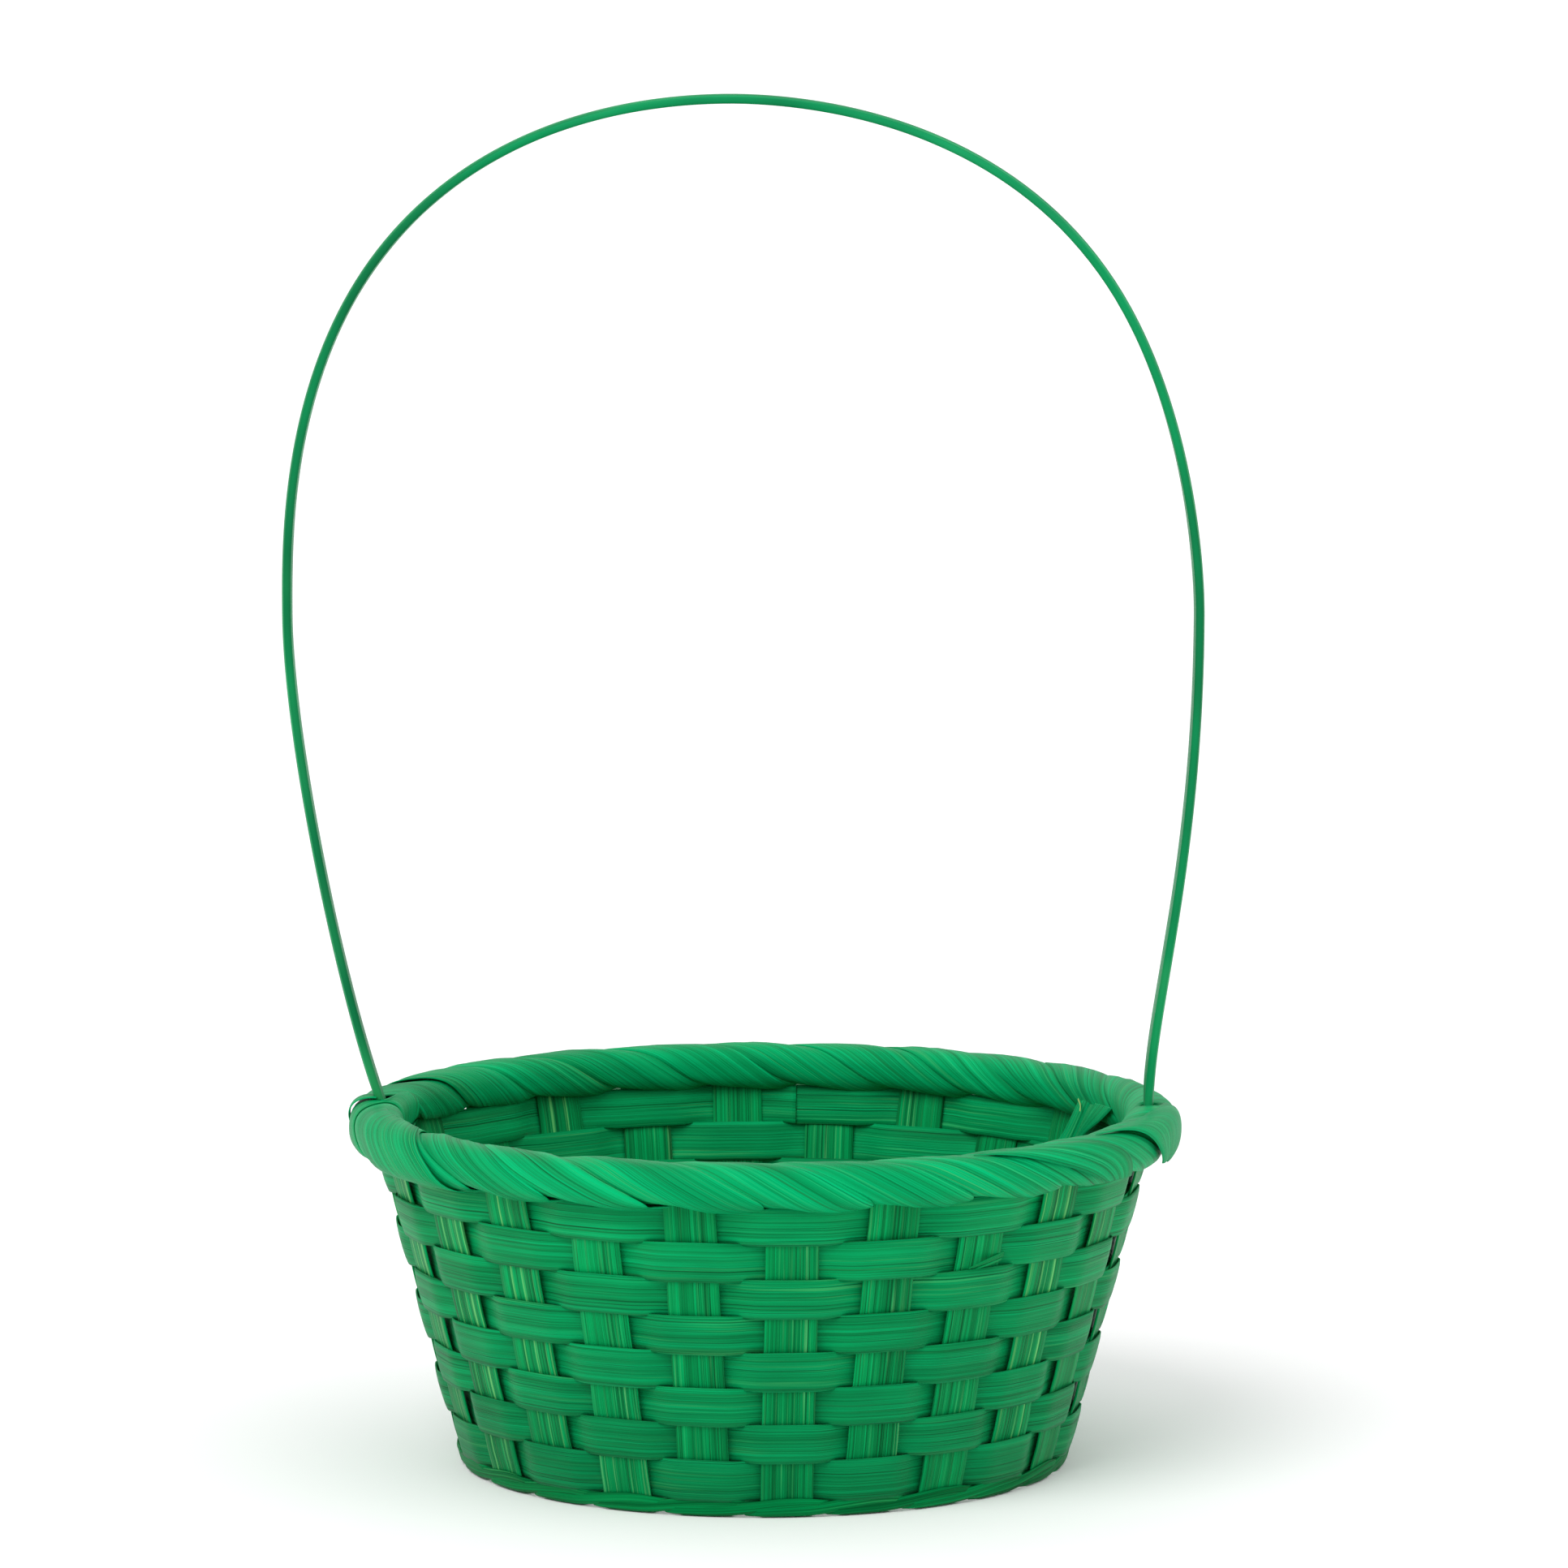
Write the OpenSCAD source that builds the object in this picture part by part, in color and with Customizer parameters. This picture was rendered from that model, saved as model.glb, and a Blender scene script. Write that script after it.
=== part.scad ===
// Round woven splint basket with a tall fixed bow handle.
// Z is up. The origin is on the basket's axis, on the plane it stands on.
// X runs through the two legs of the handle. All lengths are in millimetres.

/* [Wall] */
// Radius of the wall's middle surface, extended down to the standing plane
wall_base_r = 94; // [84:1:115]
// Outward lean of the wall, in degrees from upright
wall_lean = 14.5; // [5:0.5:16]
// Height from one weaver row to the next
row_pitch = 11.65; // [8:0.05:16]

/* [Splints] */
// Width of the upright splints
splint_w = 16; // [10:0.5:18]
// Thickness of the upright splints
splint_t = 0.9; // [0.5:0.1:1.4]
// Gap between neighbouring splints where they cross in the floor
floor_gap = 1.2; // [0.6:0.1:3]
// Inside radius of the bend from floor to wall
corner_r = 2.6; // [2:0.1:3.4]

/* [Weavers] */
// Thickness of the horizontal weavers
weaver_t = 0.8; // [0.5:0.1:1.2]
// Gap between one weaver row and the next
row_gap = 0.35; // [0.2:0.05:1.5]
// Clearance between weavers and the splints they pass
weave_clear = 0.15; // [0.1:0.05:0.5]

/* [Base twining] */
// Height of each twining strand
twine_h = 1.8; // [1.2:0.1:1.8]
// Thickness of each twining strand
twine_t = 0.8; // [0.5:0.1:1]
// Height of the lowest strand's lower edge
twine_start_z = 0.3; // [0.2:0.1:1]

/* [Rim] */
// Height of the two rim hoops
hoop_h = 10.4; // [8:0.1:13]
// Thickness of the inner and the outer hoop
hoop_t = 4.4; // [3:0.1:5]
// Clearance on each side of a hoop
hoop_clear = 0.2; // [0.1:0.05:0.5]
// Thickness of the splint wrapped round the rim
wrap_t = 0.7; // [0.4:0.1:1.2]
// Gap between neighbouring turns of the wrapping
wrap_gap = 0.8; // [0.4:0.1:3]
// Clearance under the wrapping, round the hoops
wrap_clear = 0.4; // [0.4:0.1:1]

/* [Handle] */
// Height of the top of the handle's middle line
handle_top = 426.5; // [340:0.5:560]
// Distance of the top from the basket's axis, towards -X
handle_top_shift = 10; // [0:1:30]
// Thickness of the handle strip, across the arch
handle_t = 3.1; // [2:0.1:3.6]
// Width of the handle strip, along Y
handle_w = 7; // [4:0.5:8]
// How far the -X side bows out from its leg
bow_left = 28.5; // [5:0.5:60]
// How far the +X side bows out from its leg
bow_right = 15; // [5:0.5:60]
// Height of the widest place
bow_z = 266; // [220:1:300]
// Thickness of a leg where it is pared down to pass between the hoops
foot_t = 2.6; // [1.5:0.1:3]
// Clearance between a leg and the wrapping on either side
leg_clear = 1.2; // [0.6:0.1:3]

/* [Hidden] */
weaver_rows = 8;
twine_strands = 3;
// Uprights round the wall: each floor splint makes two, and there are two sets of floor splints
strip_count = 6;
upright_count = 4 * strip_count;

green_wall = [0.00, 0.53, 0.31];
green_rim = [0.00, 0.62, 0.38];
green_handle = [0.06, 0.47, 0.27];
green_base = [0.00, 0.42, 0.24];

lean_tan = tan(wall_lean);
upright_step = 360 / upright_count;
first_upright = upright_step / 2;

// Radius of the wall's middle surface at height z
function wall_r(z) = wall_base_r + z * lean_tan;

// --- the weave ---
band_h = row_pitch - row_gap;
// How much further out the corners of a flat splint lie than its middle
corner_rise = pow(splint_w / 2, 2) / (2 * wall_base_r);
splint_half_t = splint_t / 2 / cos(wall_lean);
// Sharpness of the swing from one side to the other
swing_gain = 1.35;
swing_points = 6;
// Swing from -1 to 1 for a phase of 180 degrees per upright
function swing(phase) = sin(90 * max(-1, min(1, swing_gain * cos(phase))));
// At a splint's edge the band has reached this share of its full swing
chord_share = 0.98;
edge_phase = atan(splint_w / 2 / wall_base_r) * 180 / upright_step;
edge_share = chord_share * swing(edge_phase);
weave_swing = (splint_half_t + corner_rise + weaver_t / 2 + weave_clear) / edge_share;

// The weave starts on the base twining
twine_step_gap = 0.2;
twine_rise = (twine_strands - 1) * twine_h + twine_step_gap;
weave_start_z = twine_start_z + twine_rise + twine_h + row_gap;
function row_z(row) = weave_start_z + (row - 1) * row_pitch;

// Section of a weaver at place i of the ring, leaning with the wall
function weaver_section(row, side, i) =
    let (a = first_upright + i * upright_step / swing_points)
    let (out = side * weave_swing * swing(i * 180 / swing_points))
    [
        for (q = [[-1, 0], [-1, 1], [1, 1], [1, 0]])
            let (z = row_z(row) + q[1] * band_h)
            let (r = wall_r(z) + out + q[0] * weaver_t / 2)
            [r * cos(a), r * sin(a), z]
    ];

// --- rim ---
// The wrapping passes through the wall between the top weaver and the hoops
hoop_z = row_z(weaver_rows) + band_h + row_gap + wrap_t + wrap_clear;
hoop_top = hoop_z + hoop_h;
// The hoops clamp the leaning tops of the uprights
hoop_inner_r = wall_r(hoop_z) - splint_half_t - hoop_clear - hoop_t;
hoop_outer_r = wall_r(hoop_top) + splint_half_t + corner_rise + hoop_clear;
rim_mid_r = (hoop_inner_r + hoop_outer_r + hoop_t) / 2;
rim_mid_z = hoop_z + hoop_h / 2;
// The wrapping's facets cut this far inside a circle, each being half a turn wide
rim_sag = (hoop_outer_r + hoop_t) * (1 - cos(upright_step / 4));
rim_half_w = (hoop_outer_r + hoop_t - hoop_inner_r) / 2 + wrap_clear + rim_sag;
rim_half_h = hoop_h / 2 + wrap_clear;

// --- floor and uprights ---
floor_pitch = splint_w + floor_gap;
// Height from the lower to the upper of two crossing splints
layer_clear = 0.1;
floor_layer = splint_t + layer_clear;
floor_low = splint_t / 2;
corner_mid_r = corner_r + splint_t / 2;
corner_turn = 90 - wall_lean;
// Plan radius at which a floor splint's middle line starts to bend up
corner_start_r = wall_r(floor_low) - corner_mid_r * tan(corner_turn / 2);
// Half the side of the woven square, past which the splints fan out
grid_margin = 1;
grid_half = strip_count / 2 * floor_pitch + grid_margin;
corner_steps = 4;
fan_steps = 4;
// Length of the fan's control arm, as a share of its reach
fan_arm = 0.45;
// How far a splint stays level past the edge of the one that it crosses
level_margin = 0.08;
level_share = (splint_w / 2 + level_margin) / floor_pitch;

function unit(v) = v / norm(v);

// Offset of strip i (1 to 6) from the middle of the floor
function strip_offset(i) = (i - (strip_count + 1) / 2) * floor_pitch;
// Angle from the strip's own axis at which its end meets the wall
function strip_angle(i) = (i - (strip_count + 1) / 2) * upright_step;

// Height of strip i at its crossing j: strips of the other direction take the other height
function cross_z(i, j) = floor_low + ((i + j) % 2 == 0 ? floor_layer : 0);

// Middle line of the floor part of strip i, from its centre to one end, in its own frame:
// u runs along the strip and v across it
function fan_point(i, s) =
    let (a = strip_angle(i))
    let (p0 = [grid_half, strip_offset(i)])
    let (p2 = corner_start_r * [cos(a), sin(a)])
    let (p1 = p2 - (p2[0] - p0[0]) * fan_arm * [1, tan(a)])
    (1 - s) * (1 - s) * p0 + 2 * s * (1 - s) * p1 + s * s * p2;

// Half of a strip as stations [u, v, z, heading angle, tilt angle]
function grid_stations(i, flip) = [
    for (j = [strip_count / 2 + 1 : strip_count])
        for (e = [-level_share, level_share])
            let (jj = flip > 0 ? j : strip_count + 1 - j)
            [strip_offset(j) + e * floor_pitch, strip_offset(i), cross_z(i, jj), 0, 0]
];
function fan_stations(i) = [
    for (k = [1 : fan_steps])
        let (s = k / fan_steps)
        let (p = fan_point(i, s))
        [p[0], p[1], floor_low, strip_angle(i) * s, 0]
];
function wall_stations(i) =
    let (a = strip_angle(i))
    concat([
        for (k = [1 : corner_steps])
            let (t = corner_turn * k / corner_steps)
            let (r = corner_start_r + corner_mid_r * sin(t))
            [r * cos(a), r * sin(a), floor_low + corner_mid_r * (1 - cos(t)), a, t]
    ], [
        [wall_r(hoop_top) * cos(a), wall_r(hoop_top) * sin(a), hoop_top, a, corner_turn]
    ]);

function half_strip(i, flip) = concat(grid_stations(i, flip), fan_stations(i), wall_stations(i));

// Corners of a strip's section at a station, on its +u or its -u half
function strip_section(s, flip) =
    let (h = s[3], t = s[4])
    let (across = [-sin(h), cos(h), 0])
    let (up = [-sin(t) * cos(h), -sin(t) * sin(h), cos(t)])
    let (c = [s[0], s[1], s[2]])
    [
        for (q = [[-1, -1], [1, -1], [1, 1], [-1, 1]])
            let (p = c + q[0] * splint_w / 2 * across + q[1] * splint_t / 2 * up)
            [flip * p[0], p[1], p[2]]
    ];

function reversed(list) = [for (k = [len(list) - 1 : -1 : 0]) list[k]];

// Side faces between each section and the next, for sections of m corners each
function side_faces(m, count, total) = [
    for (k = [0 : count - 1])
        for (e = [0 : m - 1])
            let (a = m * k + e, b = m * k + (e + 1) % m)
            let (c = (a + m) % total, d = (b + m) % total)
            each [[a, c, d], [a, d, b]]
];

// A closed strip through sections of corners
module swept(sections) {
    n = len(sections);
    m = len(sections[0]);
    ends = [
        for (e = [1 : m - 2])
            each [[0, e, e + 1], [m * (n - 1), m * (n - 1) + e + 1, m * (n - 1) + e]]
    ];
    polyhedron(points = [for (s = sections) each s], faces = concat(side_faces(m, n - 1, m * n), ends));
}

// The same, but joined end to end
module swept_loop(sections) {
    n = len(sections);
    m = len(sections[0]);
    polyhedron(points = [for (s = sections) each s], faces = side_faces(m, n, m * n));
}

module long_splint(i, dir) {
    sections = concat(
        reversed([for (s = half_strip(i, -1)) strip_section(s, -1)]),
        [for (s = half_strip(i, 1)) strip_section(s, 1)]
    );
    color(green_wall)
        rotate([0, 0, dir * 90])
            swept(sections);
}

// --- base twining: each strand passes outside two uprights and inside the third ---
twine_swing = splint_half_t + corner_rise + twine_t / 2 + weave_clear + twine_h / 2 * lean_tan;
// Places along one upright's share of the wall, from its middle to the middle of the gap
twine_places = [-0.34, 0, 0.34, 0.5];

// Strand position for each upright of its repeat and each place:
// [share of the swing, share of the rise]
twine_path = [
    [[-1, 1], [-1, 1], [-1, 1], [0, 0.2]],
    [[1, 0], [1, 0.2], [1, 0.4], [1, 0.5]],
    [[1, 0.6], [1, 0.8], [1, 1], [0, 1]]
];

function twine_section(strand, upright, place) =
    let (m = twine_path[(upright + strand) % twine_strands][place])
    let (a = first_upright + (upright + twine_places[place]) * upright_step)
    let (z = twine_start_z + m[1] * twine_rise)
    let (r = wall_r(z + twine_h / 2) + m[0] * twine_swing)
    [
        for (q = [[-1, 0], [-1, 1], [1, 1], [1, 0]])
            let (rr = r + q[0] * twine_t / 2)
            [rr * cos(a), rr * sin(a), z + q[1] * twine_h]
    ];

module base_twine(strand) {
    color(green_base)
        swept_loop([
            for (upright = [0 : upright_count - 1])
                for (place = [0 : len(twine_places) - 1])
                    twine_section(strand, upright, place)
        ]);
}

module weaver_row(row) {
    side = row % 2 == 0 ? 1 : -1;
    color(green_wall)
        swept_loop([for (i = [0 : upright_count * swing_points - 1]) weaver_section(row, side, i)]);
}

// Hoop with one flat face towards the wall and a rounded face away from it:
// side is 1 for the outer hoop and -1 for the inner one
hoop_round = 0.56;
hoop_round_r = hoop_round * hoop_h;
ring_facets = 96;
section_facets = 64;
module hoop(flat_r, side) {
    color(green_rim)
        translate([0, 0, rim_mid_z])
            rotate_extrude($fn = ring_facets)
                intersection() {
                    translate([side > 0 ? flat_r : flat_r - hoop_t, -hoop_h / 2])
                        square([hoop_t, hoop_h]);
                    translate([flat_r + side * (hoop_t - hoop_round_r), 0])
                        circle(r = hoop_round_r, $fn = section_facets);
                }
}

module rim_inner_hoop() {
    hoop(hoop_inner_r + hoop_t, -1);
}

module rim_outer_hoop() {
    hoop(hoop_outer_r, 1);
}

// --- rim wrapping: a strip wound round the rim, once for each gap between uprights ---
wrap_steps = 16;
wrap_power = 3;
// The strip starts and ends a quarter turn from the top, tucked in beside the legs
wrap_tuck = wrap_steps / 4;
wrap_last = (upright_count / 2 - 1) * wrap_steps + wrap_tuck;
function arc_angle(length) = length / rim_mid_r * 180 / PI;
wide_half = upright_step / 2 - arc_angle(wrap_gap / 2);
// Half the angle of the window between two uprights that the strip passes through
pass_clear = 1.8;
pass_half = upright_step / 2 - arc_angle(splint_w / 2 + pass_clear);
// Angles round the rim's section, from its lowest point, between which the strip widens
narrow_to = 25;
wide_from = 60;
leg_half = arc_angle(handle_w / 2 + leg_clear);

// Point of the rim's outline at angle p from outwards to upwards, grown by g
function rim_outline(p, g) =
    let (w = rim_half_w + g, h = rim_half_h + g)
    let (k = pow(abs(cos(p)) / w, wrap_power) + pow(abs(sin(p)) / h, wrap_power))
    pow(k, -1 / wrap_power) * [cos(p), sin(p)];

// Half angle of the strip: narrow where it passes under the rim, wide elsewhere
function strip_half(p) =
    let (from_pass = abs(((p % 360) + 360) % 360 - 270))
    let (share = max(0, min(1, (from_pass - narrow_to) / (wide_from - narrow_to))))
    pass_half + (wide_half - pass_half) * share;

function wrap_point(k, e, g) =
    let (p = 90 - 360 * k / wrap_steps)
    let (middle = upright_step * (0.5 + k / wrap_steps))
    let (a = max(leg_half, min(180 - leg_half, middle + e * strip_half(p))))
    let (o = rim_outline(p, g))
    [(rim_mid_r + o[0]) * cos(a), (rim_mid_r + o[0]) * sin(a), rim_mid_z + o[1]];

function wrap_section(k) = [
    for (e = [-1 : 1]) wrap_point(k, e, 0),
    for (e = [1 : -1 : -1]) wrap_point(k, e, wrap_t)
];

module rim_wrap(start) {
    color(green_rim)
        rotate([0, 0, start])
            swept([for (k = [-wrap_tuck : wrap_last]) wrap_section(k)]);
}

module rim_wrap_front() {
    rim_wrap(180);
}

module rim_wrap_back() {
    rim_wrap(0);
}

// --- handle ---
// The legs stand between the hoops, against the inner one
foot_space = hoop_outer_r - hoop_inner_r - hoop_t - 2 * hoop_clear;
foot_half_t = min(foot_t, foot_space) / 2;
foot_r = hoop_inner_r + hoop_t + hoop_clear + foot_half_t;
seat_z = hoop_top + wrap_clear + wrap_t;

function bezier(p, s) =
    pow(1 - s, 3) * p[0] + 3 * s * pow(1 - s, 2) * p[1] + 3 * s * s * (1 - s) * p[2] + pow(s, 3) * p[3];

handle_steps = 9;
// Each side of the arch: the leg's lean as it leaves the rim, then the shoulder, where the side
// turns over into the top: its distance in from the leg, its drop below the top as a share of
// the drop to the widest place, and its slope
left_shape = [20, 4, 0.28, 50];
right_shape = [0, 8, 0.405, 61];
// The curve's control arms at both ends of each span, as shares of the span
left_arms = [[0.204, 0.268], [0.167, 0.433], [0.414, 0.268]];
right_arms = [[0.2, 0.517], [0.204, 0.387], [0.482, 0.18]];

// One side of the arch, from the leg's foot to the top, as [outwards, up, thickness]
function arch_side(bow, shape, arms, top_x) =
    let (shoulder_z = handle_top - shape[2] * (handle_top - bow_z))
    let (places = [
        [foot_r, seat_z], [foot_r + bow, bow_z], [foot_r - shape[1], shoulder_z], [top_x, handle_top]
    ])
    let (headings = [
        [sin(shape[0]), cos(shape[0])], [0, 1], [-cos(shape[3]), sin(shape[3])], [-1, 0]
    ])
    concat([[foot_r, hoop_z, 2 * foot_half_t], [foot_r, hoop_top, 2 * foot_half_t]], [
        for (i = [0 : len(arms) - 1])
            let (span = norm(places[i + 1] - places[i]))
            let (p1 = places[i] + arms[i][0] * span * headings[i])
            let (p2 = places[i + 1] - arms[i][1] * span * headings[i + 1])
            for (k = [0 : handle_steps - 1])
                concat(bezier([places[i], p1, p2, places[i + 1]], k / handle_steps), [handle_t])
    ], [[top_x, handle_top, handle_t]]);

left_side = arch_side(bow_left, left_shape, left_arms, handle_top_shift);
right_side = arch_side(bow_right, right_shape, right_arms, -handle_top_shift);

function arch_line() = concat(
    [for (p = left_side) [-p[0], p[1], p[2]]],
    [for (k = [len(right_side) - 2 : -1 : 0]) right_side[k]]
);

function handle_section(line, k) =
    let (n = len(line), next = line[min(k + 1, n - 1)], last = line[max(k - 1, 0)])
    let (d = unit([next[0] - last[0], next[1] - last[1]]))
    let (out = [-d[1], d[0]])
    [
        for (q = [[-1, -1], [-1, 1], [1, 1], [1, -1]])
            let (p = [line[k][0], line[k][1]] + q[0] * line[k][2] / 2 * out)
            [p[0], q[1] * handle_w / 2, p[1]]
    ];

module handle() {
    line = arch_line();
    color(green_handle)
        swept([for (k = [0 : len(line) - 1]) handle_section(line, k)]);
}

long_splint(1, 0);  // splint_x1
long_splint(2, 0);  // splint_x2
long_splint(3, 0);  // splint_x3
long_splint(4, 0);  // splint_x4
long_splint(5, 0);  // splint_x5
long_splint(6, 0);  // splint_x6
long_splint(1, 1);  // splint_y1
long_splint(2, 1);  // splint_y2
long_splint(3, 1);  // splint_y3
long_splint(4, 1);  // splint_y4
long_splint(5, 1);  // splint_y5
long_splint(6, 1);  // splint_y6
base_twine(0);  // base_twine_a
base_twine(1);  // base_twine_b
base_twine(2);  // base_twine_c
weaver_row(1);  // weaver_row_1
weaver_row(2);  // weaver_row_2
weaver_row(3);  // weaver_row_3
weaver_row(4);  // weaver_row_4
weaver_row(5);  // weaver_row_5
weaver_row(6);  // weaver_row_6
weaver_row(7);  // weaver_row_7
weaver_row(8);  // weaver_row_8
rim_inner_hoop();
rim_outer_hoop();
rim_wrap_front();
rim_wrap_back();
handle();
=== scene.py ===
"""Looks of the round woven splint basket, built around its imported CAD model.

All lengths below are in millimetres unless a name says otherwise; meshes are made in metres.
Angles are in degrees, measured round the basket's axis from +X towards +Y.
"""

import math
import random

import bpy
import numpy as np
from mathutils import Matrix, Vector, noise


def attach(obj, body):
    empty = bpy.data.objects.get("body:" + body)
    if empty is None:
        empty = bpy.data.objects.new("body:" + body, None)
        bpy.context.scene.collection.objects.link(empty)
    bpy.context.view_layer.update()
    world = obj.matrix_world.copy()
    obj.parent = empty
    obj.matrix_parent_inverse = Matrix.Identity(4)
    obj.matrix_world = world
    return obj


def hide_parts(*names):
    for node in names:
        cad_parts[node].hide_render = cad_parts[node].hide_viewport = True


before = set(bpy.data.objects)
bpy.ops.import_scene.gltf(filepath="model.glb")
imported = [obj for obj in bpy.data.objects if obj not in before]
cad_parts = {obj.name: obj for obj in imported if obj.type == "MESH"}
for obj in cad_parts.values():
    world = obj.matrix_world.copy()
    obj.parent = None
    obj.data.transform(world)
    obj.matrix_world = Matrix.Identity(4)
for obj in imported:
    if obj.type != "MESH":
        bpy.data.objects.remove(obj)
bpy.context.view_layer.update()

MM = 0.001
BODY = "root"

# --- sizes read from the frame ---


def node_points(name):
    """Vertices of a CAD node, in millimetres."""
    return np.array([v.co[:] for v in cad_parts[name].data.vertices]) / MM


def ring_sizes(name):
    """Lowest and highest z, and smallest and largest radius, of a ring node."""
    points = node_points(name)
    radius = np.hypot(points[:, 0], points[:, 1])
    return points[:, 2].min(), points[:, 2].max(), radius.min(), radius.max()


ROWS = 8
UPRIGHTS = 24
# Floor splints each way
STRIPS = 6
# Angle from one upright to the next, and of the first one
STEP = 360 / UPRIGHTS
FIRST = STEP / 2
# Times the weavers swing out and in again in one turn
SWINGS = UPRIGHTS // 2
ROW_SIZES = [ring_sizes(f"weaver_row_{k + 1}") for k in range(ROWS)]
SPLINT_W = 16.0
SPLINT_T = 0.9
WEAVER_T = 0.8
FLOOR_PITCH = 17.2
INNER_HOOP = ring_sizes("rim_inner_hoop")
OUTER_HOOP = ring_sizes("rim_outer_hoop")
HOOP_LOW, HOOP_TOP = OUTER_HOOP[:2]


def wall_line():
    """Radius at the standing plane and slope of the wall's middle surface."""
    low, high = ROW_SIZES[0], ROW_SIZES[-1]
    r_low, r_high = (low[2] + low[3]) / 2, (high[2] + high[3]) / 2
    z_low, z_high = (low[0] + low[1]) / 2, (high[0] + high[1]) / 2
    slope = (r_high - r_low) / (z_high - z_low)
    return r_low - slope * z_low, slope


WALL_R0, WALL_SLOPE = wall_line()


def wall_r(z):
    """Radius of the wall's middle surface at height z."""
    return WALL_R0 + WALL_SLOPE * z


# --- small tools ---

# The last argument of wave and drift is a seed: any number, another one for each use.
# SEED_STEP sets the seeds far apart in the noise, and SEED_START keeps them off its zeros.
SEED_STEP = 7.31
SEED_START = 0.5
# The higher this power, the nearer to its edges a strip keeps its full thickness. Each kind of
# strip has its own thickness at the edges, as a share of its full one.
EDGE_POWER = 6
WEAVER_EDGE = 0.55
SPLINT_EDGE = 0.6
TWINE_EDGE = 0.5
WRAP_EDGE = 0.5
LOOSE_EDGE = 0.4
# Keeps a normal of no length from being divided by zero
TINY = 1e-12


def wave(x, y, seed):
    """Smooth noise between about -1 and 1."""
    return noise.noise(Vector((x, y, seed * SEED_STEP + SEED_START)))


def drift(kind, x, y, seed):
    """Unevenness along x, where kind is (amount, distance over which it changes)."""
    amount, distance = kind
    return amount * wave(x / distance, y, seed)


def smooth(t):
    """Ease from 0 to 1 while t goes from 0 to 1."""
    t = max(0.0, min(1.0, t))
    return t * t * (3 - 2 * t)


def polar(radius, angle, z):
    """Point at a radius, an angle and a height."""
    a = math.radians(angle)
    return np.array([radius * math.cos(a), radius * math.sin(a), z])


def strip_mesh(name, front, back, grain):
    """A closed strip from two grids of points, both [station][place across].

    grain holds (u, v) in metres for each grid point: u along the strip and v across it.
    """
    stations, across = len(front), len(front[0])
    points = [p * MM for row in front for p in row] + [p * MM for row in back for p in row]
    half = stations * across
    last, end = across - 1, stations - 1

    def at(s, a, side):
        return side * half + s * across + a

    faces = []
    for s in range(end):
        for a in range(last):
            faces.append((at(s, a, 0), at(s + 1, a, 0), at(s + 1, a + 1, 0), at(s, a + 1, 0)))
            faces.append((at(s, a, 1), at(s, a + 1, 1), at(s + 1, a + 1, 1), at(s + 1, a, 1)))
        faces.append((at(s, 0, 0), at(s, 0, 1), at(s + 1, 0, 1), at(s + 1, 0, 0)))
        faces.append((at(s, last, 0), at(s + 1, last, 0), at(s + 1, last, 1), at(s, last, 1)))
    for a in range(last):
        faces.append((at(0, a, 0), at(0, a + 1, 0), at(0, a + 1, 1), at(0, a, 1)))
        faces.append((at(end, a, 0), at(end, a, 1), at(end, a + 1, 1), at(end, a + 1, 0)))
    mesh = bpy.data.meshes.new(name)
    mesh.from_pydata([tuple(p) for p in points], [], faces)
    uv = mesh.uv_layers.new(name="grain")
    flat = [g for row in grain for g in row]
    flat = flat + flat
    for loop in mesh.loops:
        uv.data[loop.index].uv = flat[loop.vertex_index]
    mesh.polygons.foreach_set("use_smooth", [True] * len(mesh.polygons))
    mesh.update()
    return mesh


def grid_normals(grid):
    """Unit normals of a grid of points, from its own directions along and across."""
    g = np.array(grid)
    along = np.gradient(g, axis=0)
    across = np.gradient(g, axis=1)
    n = np.cross(along, across)
    n /= np.linalg.norm(n, axis=2, keepdims=True) + TINY
    return n


def thick_strip(name, grid, thickness, edge, grain):
    """A strip round a middle grid, thinned to the share edge at its two long edges."""
    across = len(grid[0])
    shape = [1 - (1 - edge) * abs(2 * a / (across - 1) - 1) ** EDGE_POWER for a in range(across)]
    half = [thickness / 2 * s for s in shape]
    rows = list(zip(grid, grid_normals(grid)))
    front = [[p + n * h for p, n, h in zip(points, normals, half)] for points, normals in rows]
    back = [[p - n * h for p, n, h in zip(points, normals, half)] for points, normals in rows]
    return strip_mesh(name, front, back, grain)


def make_piece(name, mesh, slot, material, *nodes):
    """A mesh as a piece of the basket, in place of the CAD nodes that are named."""
    obj = bpy.data.objects.new(name, mesh)
    bpy.context.scene.collection.objects.link(obj)
    obj.data.materials.append(material)
    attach(obj, BODY)
    if nodes:
        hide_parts(*nodes)
    return obj


# --- materials ---

# Sockets of the Mix node when it mixes colours
MIX_FACTOR, MIX_A, MIX_B, MIX_RESULT = 0, 6, 7, 2
# How far each seed moves the grain
GRAIN_SHIFT = (3.7, 1.9, 1.0)
GRAIN_ROUGHNESS = 0.55
# Height in metres at which the painted shade towards the foot ends and the colour is at full
# strength
SHADE_TOP = 0.1
# Grain of the wood: periods per metre along and across the splint, and the noise's detail
HAIR = (9, 3600, 3.0)
FIBRE = (5, 1300, 2.0)
BAND = (3, 330, 1.0)
CLOUD = (26, 70, 2.0)
PATCH = (14, 45, 2.0)
SLIT = (6, 1700, 1.0)
STREAK_DETAIL = 2.0
# Shares of hair, fibre and band in the tone
HAIR_SHARE, FIBRE_SHARE, BAND_SHARE = 0.4, 0.35, 0.25
# Noise values between which clouds, streaks, patches of streaks and slits fade in
CLOUD_FADE = (0.3, 0.7)
STREAK_FADE = (0.55, 0.68)
PATCH_FADE = 0.14
SLIT_FADE = (0.3, 0.37)
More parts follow.
